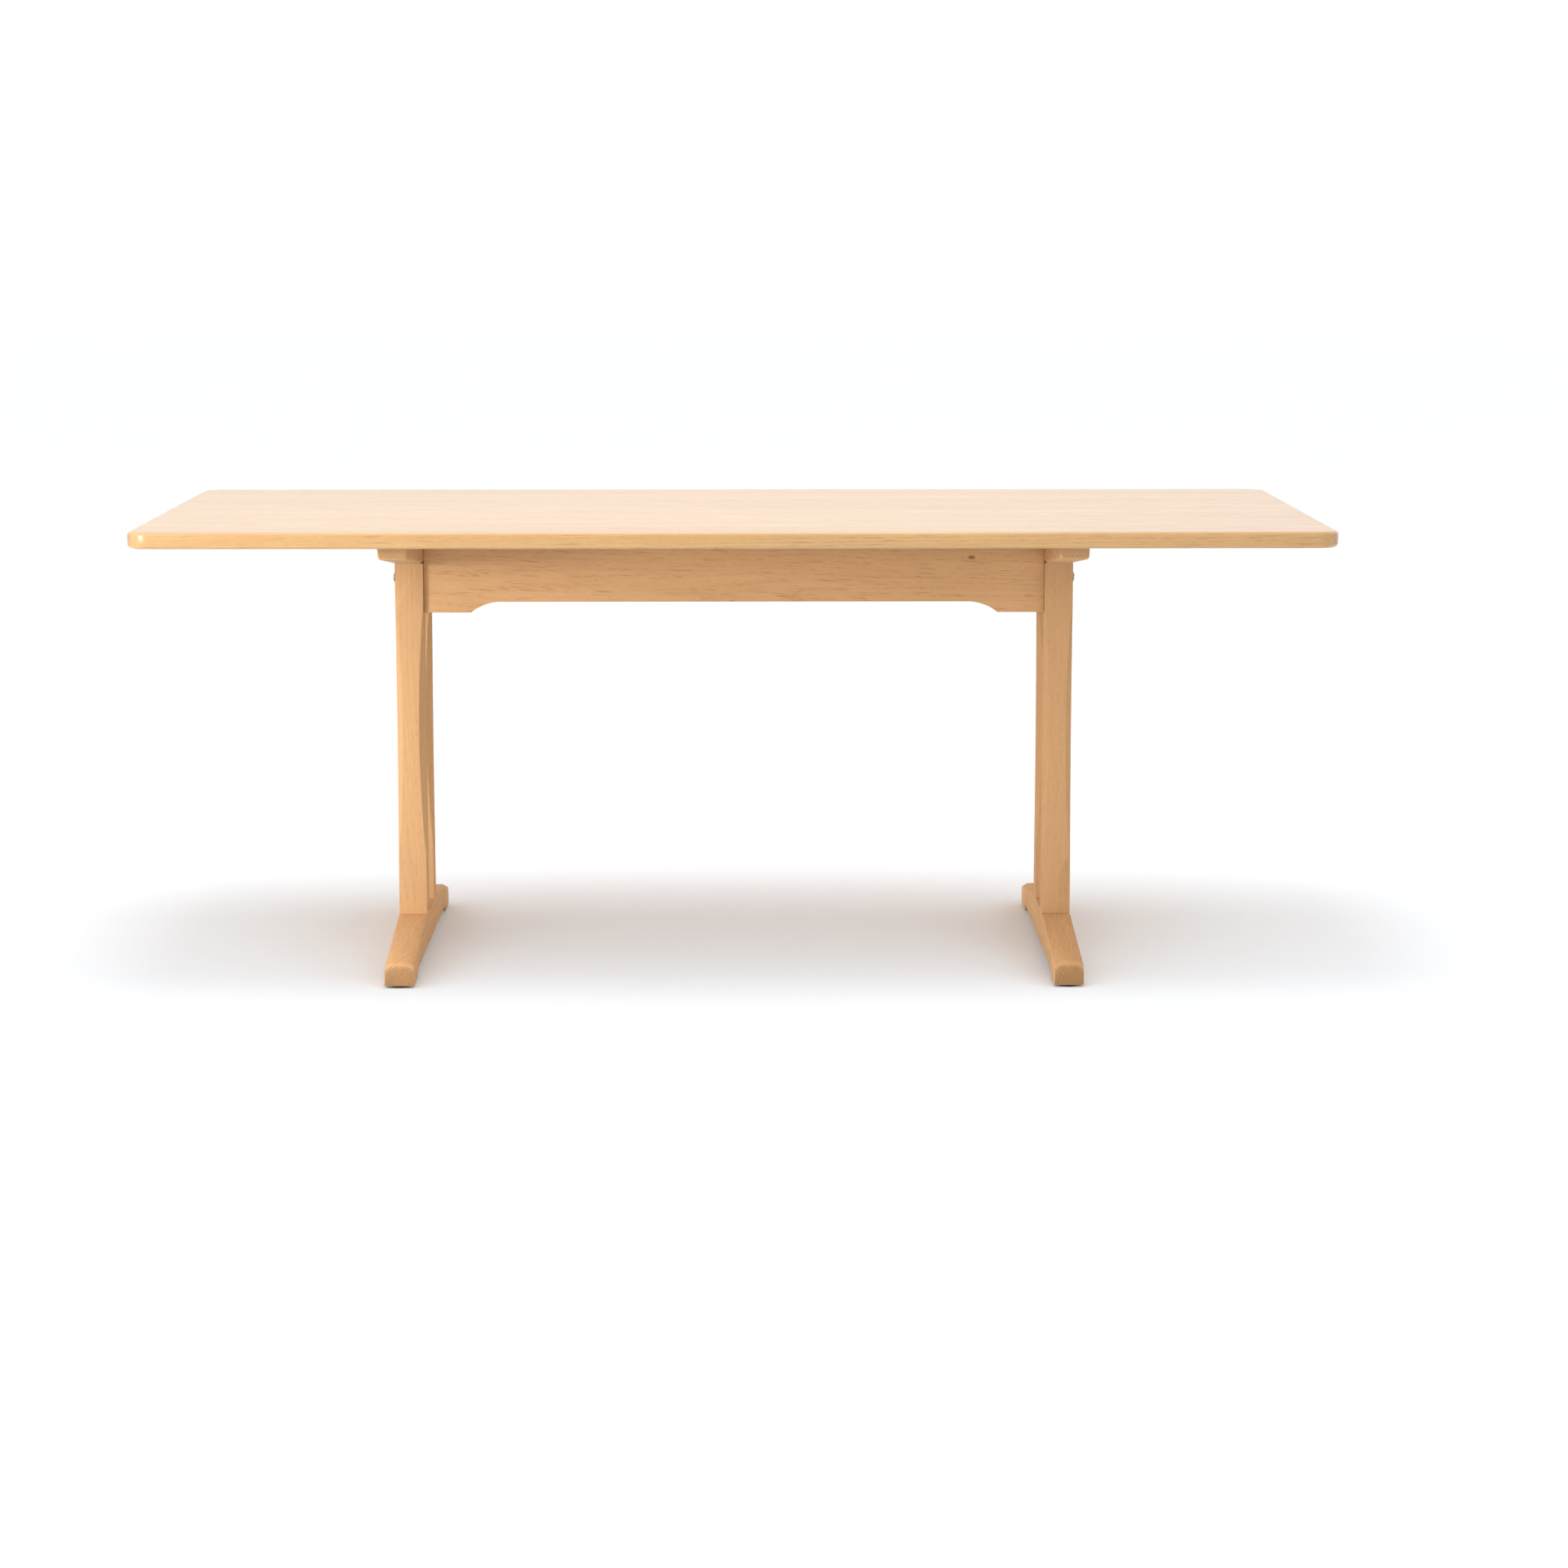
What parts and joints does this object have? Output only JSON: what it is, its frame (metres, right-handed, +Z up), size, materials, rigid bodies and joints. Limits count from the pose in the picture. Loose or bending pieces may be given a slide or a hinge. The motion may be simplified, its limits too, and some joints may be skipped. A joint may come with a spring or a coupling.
{
  "type": "communion table",
  "caption": "Oak trestle table with twin-post ends, tapered feet, bolted relieved rails and an edge-glued top, for communion and hall use.",
  "frame": {"origin": "on the floor, under the middle of the tabletop", "axes": "+X along the length of the tabletop, -Y towards the front, +Z up"},
  "size_m": [1.83, 0.915, 0.715],
  "materials": {
    "oak_tabletop": "satin clear lacquer on pale oak",
    "oak_frame": "satin clear lacquer on honey oak",
    "beech_dowel": "bare, unfinished",
    "bronzed_steel": "antique bronze plating, satin",
    "zinc_steel": "zinc plated",
    "dark_glide": "matt dark brown"
  },
  "bodies": {
    "root": {"tabletop_board_1": "oak_tabletop", "tabletop_board_2": "oak_tabletop", "tabletop_board_3": "oak_tabletop", "tabletop_board_4": "oak_tabletop", "tabletop_board_5": "oak_tabletop", "tabletop_board_6": "oak_tabletop", "tabletop_board_7": "oak_tabletop", "tabletop_board_8": "oak_tabletop", "bearer_left": "oak_frame", "post_front_left": "oak_frame", "post_back_left": "oak_frame", "foot_left": "oak_frame", "bearer_right": "oak_frame", "post_front_right": "oak_frame", "post_back_right": "oak_frame", "foot_right": "oak_frame", "rail_front": "oak_frame", "rail_back": "oak_frame", "rail_bolt_front_left": "bronzed_steel", "barrel_nut_front_left": "zinc_steel", "rail_dowel_lower_front_left": "beech_dowel", "rail_dowel_upper_front_left": "beech_dowel", "rail_bolt_back_left": "bronzed_steel", "barrel_nut_back_left": "zinc_steel", "rail_dowel_lower_back_left": "beech_dowel", "rail_dowel_upper_back_left": "beech_dowel", "rail_bolt_front_right": "bronzed_steel", "barrel_nut_front_right": "zinc_steel", "rail_dowel_lower_front_right": "beech_dowel", "rail_dowel_upper_front_right": "beech_dowel", "rail_bolt_back_right": "bronzed_steel", "barrel_nut_back_right": "zinc_steel", "rail_dowel_lower_back_right": "beech_dowel", "rail_dowel_upper_back_right": "beech_dowel", "top_screw_left_1": "zinc_steel", "top_screw_left_2": "zinc_steel", "top_screw_left_3": "zinc_steel", "top_screw_left_4": "zinc_steel", "top_screw_right_1": "zinc_steel", "top_screw_right_2": "zinc_steel", "top_screw_right_3": "zinc_steel", "top_screw_right_4": "zinc_steel", "glide_front_left": "dark_glide", "glide_back_left": "dark_glide", "glide_front_right": "dark_glide", "glide_back_right": "dark_glide"}
  },
  "joints": []
}
